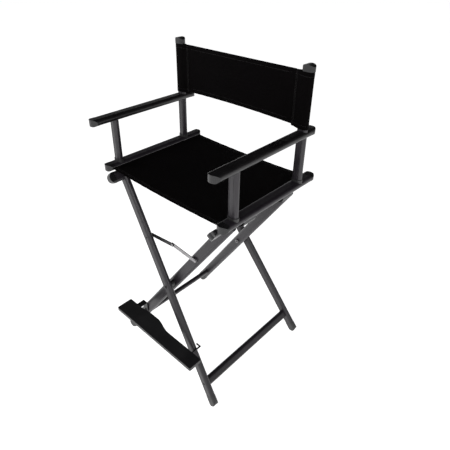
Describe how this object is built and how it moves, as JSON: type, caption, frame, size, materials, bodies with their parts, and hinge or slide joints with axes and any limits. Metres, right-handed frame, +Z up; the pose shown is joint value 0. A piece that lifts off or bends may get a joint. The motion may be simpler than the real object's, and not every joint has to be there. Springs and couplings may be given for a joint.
{
  "type": "folding director chair",
  "caption": "Tall folding director's chair in dark aluminium tube, with a cloth sling seat and back, armrests, crossed legs, a folding brace and a swing-up footrest.",
  "frame": {"origin": "on the floor, under the middle of the chair's bounding box when it is open", "axes": "+X to the viewer's right seen from the front, +Y to the back of the chair, +Z up"},
  "size_m": [0.583, 0.5734, 1.162],
  "materials": {
    "tube_coat": "satin powder coat on aluminium tube",
    "armrest_coat": "satin powder coat on aluminium tube",
    "footrest_coat": "satin powder coat, edges a little lighter",
    "dark_fittings": "blackened steel",
    "black_plastic": "moulded, slightly glossy",
    "grey_steel": "zinc plated",
    "black_cloth": "plain heavy weave"
  },
  "bodies": {
    "outer_frame": {"outer_leg_front": "tube_coat", "outer_leg_rear": "tube_coat", "outer_foot_front": "black_plastic", "outer_foot_rear": "black_plastic", "outer_stretcher": "tube_coat", "outer_stretcher_screws": "dark_fittings", "outer_lower_rail": "tube_coat", "outer_rail_caps": "black_plastic", "pivot_bolts": "dark_fittings", "pivot_nuts": "grey_steel", "pivot_spacers": "black_plastic", "outer_brace_bolt": "dark_fittings"},
    "inner_frame": {"inner_leg_front": "tube_coat", "inner_leg_rear": "tube_coat", "inner_foot_front": "black_plastic", "inner_foot_rear": "black_plastic", "inner_stretcher": "tube_coat", "inner_stretcher_screws": "dark_fittings", "inner_lower_rail": "tube_coat", "inner_rail_caps": "black_plastic", "inner_brace_bolt": "grey_steel", "footrest_bolt": "dark_fittings"},
    "side_left": {"seat_rail_left": "tube_coat", "seat_rail_caps_left": "black_plastic", "front_post_left": "tube_coat", "rear_post_left": "tube_coat", "post_collars_left": "black_plastic", "post_cap_left": "black_plastic", "armrest_left": "armrest_coat", "armrest_caps_left": "black_plastic", "hinge_clips_left": "black_plastic", "clip_screws_left": "grey_steel", "seat_rod_left": "grey_steel", "back_sleeve_left": "black_cloth", "seat_fabric": "black_cloth", "back_fabric": "black_cloth"},
    "side_right": {"seat_rail_right": "tube_coat", "seat_rail_caps_right": "black_plastic", "front_post_right": "tube_coat", "rear_post_right": "tube_coat", "post_collars_right": "black_plastic", "post_cap_right": "black_plastic", "armrest_right": "armrest_coat", "armrest_caps_right": "black_plastic", "hinge_clips_right": "black_plastic", "clip_screws_right": "grey_steel", "seat_rod_right": "grey_steel", "back_sleeve_right": "black_cloth"},
    "brace_outer": {"brace_link_outer": "dark_fittings", "brace_rivet_front": "grey_steel"},
    "brace_inner": {"brace_link_inner": "grey_steel", "brace_rivet_rear": "grey_steel"},
    "footrest": {"footrest_plate": "footrest_coat", "footrest_bracket": "dark_fittings", "footrest_hook": "dark_fittings", "footrest_screws": "grey_steel"}
  },
  "joints": [
    {"name": "fold", "type": "hinge", "parent": "outer_frame", "child": "inner_frame", "pos_m": [0, 0, 0.38978], "axis": [0, -1, 0], "range_deg": [0, 58], "deforming": ["seat_fabric", "back_fabric"]},
    {"name": "side_left", "type": "hinge", "parent": "outer_frame", "child": "side_left", "pos_m": [-0.244, 0, 0.745], "axis": [0, -1, 0], "range_deg": [0, 29]},
    {"name": "side_right", "type": "hinge", "parent": "inner_frame", "child": "side_right", "pos_m": [0.244, 0, 0.745], "axis": [0, -1, 0], "range_deg": [-29, 0]},
    {"name": "brace_outer", "type": "hinge", "parent": "outer_frame", "child": "brace_outer", "pos_m": [-0.10758, 0, 0.54639], "axis": [0, -1, 0], "range_deg": [0, 103.49]},
    {"name": "brace_inner", "type": "hinge", "parent": "inner_frame", "child": "brace_inner", "pos_m": [0.10758, 0, 0.54639], "axis": [0, -1, 0], "range_deg": [-103.49, 0]},
    {"name": "footrest", "type": "hinge", "parent": "inner_frame", "child": "footrest", "pos_m": [-0.15783, 0, 0.16], "axis": [0, -1, 0], "range_deg": [0, 43]}
  ],
  "couplings": [
    {"joint": "side_left", "follows": "fold", "ratio": 0.5},
    {"joint": "side_right", "follows": "fold", "ratio": -0.5},
    {"joint": "brace_outer", "follows": "fold", "ratio": 1.7844},
    {"joint": "brace_inner", "follows": "fold", "ratio": -1.7844}
  ]
}
